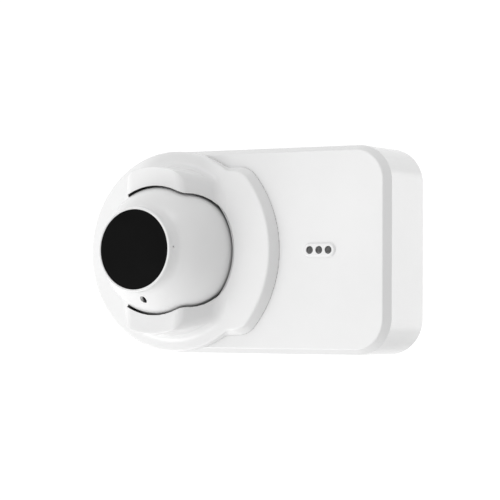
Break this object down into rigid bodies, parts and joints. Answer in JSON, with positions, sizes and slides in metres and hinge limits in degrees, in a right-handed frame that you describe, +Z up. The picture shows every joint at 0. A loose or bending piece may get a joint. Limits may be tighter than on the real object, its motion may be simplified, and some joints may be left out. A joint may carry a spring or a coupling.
{
  "type": "wall-mounted optical smoke detector head",
  "caption": "Wall-mounted optical smoke detector head with a rounded housing and a lens eyeball that pans and tilts in its socket.",
  "frame": {"origin": "centre of the housing's width and height, on the face that lies against the wall", "axes": "+X along the housing away from the eyeball end, +Y into the wall, +Z up"},
  "size_m": [0.208, 0.101, 0.126],
  "materials": {
    "white_gloss": "gloss",
    "inner_plastic": "satin moulded",
    "black_rubber": "matte",
    "screw_steel": "zinc plated",
    "smoked_lens": "gloss",
    "board_green": "solder resist",
    "black_plastic": "moulded",
    "lamp_cream": "clear epoxy",
    "switch_red": "moulded",
    "terminal_green": "moulded",
    "grey_plastic": "moulded",
    "bearing_black": "acetal",
    "dark_lens": "dark infrared filter"
  },
  "bodies": {
    "housing": {"back_plate": "inner_plastic", "main_cover": "white_gloss", "head_shroud": "white_gloss", "cover_seal": "black_rubber", "cover_screws": "screw_steel", "status_pad": "white_gloss", "status_lenses": "smoked_lens", "main_board": "board_green", "board_chips": "black_plastic", "status_leds": "lamp_cream", "address_switch": "switch_red", "board_socket": "black_plastic", "board_screws": "screw_steel", "terminal_board": "board_green", "terminal_blocks": "terminal_green", "terminal_screws": "screw_steel", "pin_header": "black_plastic", "terminal_board_screws": "screw_steel", "cable_grommet": "black_rubber", "blanking_plug": "black_rubber", "socket_ring": "grey_plastic", "dust_seal": "inner_plastic", "clamp_screws": "screw_steel"},
    "pan_bearing": {"upper_bearing_pad": "bearing_black", "lower_bearing_pad": "bearing_black"},
    "eyeball": {"ball_front_shell": "white_gloss", "ball_rear_shell": "white_gloss", "lens_bezel": "white_gloss", "lens_window": "dark_lens", "lens_barrel": "black_plastic", "imager_board": "board_green", "image_sensor": "black_plastic", "ball_screws": "screw_steel"},
    "lock": {"lock_screw": "screw_steel"}
  },
  "joints": [
    {"name": "pan", "type": "hinge", "parent": "housing", "child": "pan_bearing", "pos_m": [-0.0415, -0.0613, 0], "axis": [0, 0, 1], "range_deg": [-59, 59]},
    {"name": "tilt", "type": "hinge", "parent": "pan_bearing", "child": "eyeball", "pos_m": [-0.0415, -0.0613, 0], "axis": [1, 0, 0], "range_deg": [-15, 15]},
    {"name": "lock_turn", "type": "hinge", "parent": "eyeball", "child": "lock", "pos_m": [-0.0415, -0.0773, -0.0303], "axis": [0, -1, 0], "range_deg": [0, 90]}
  ]
}
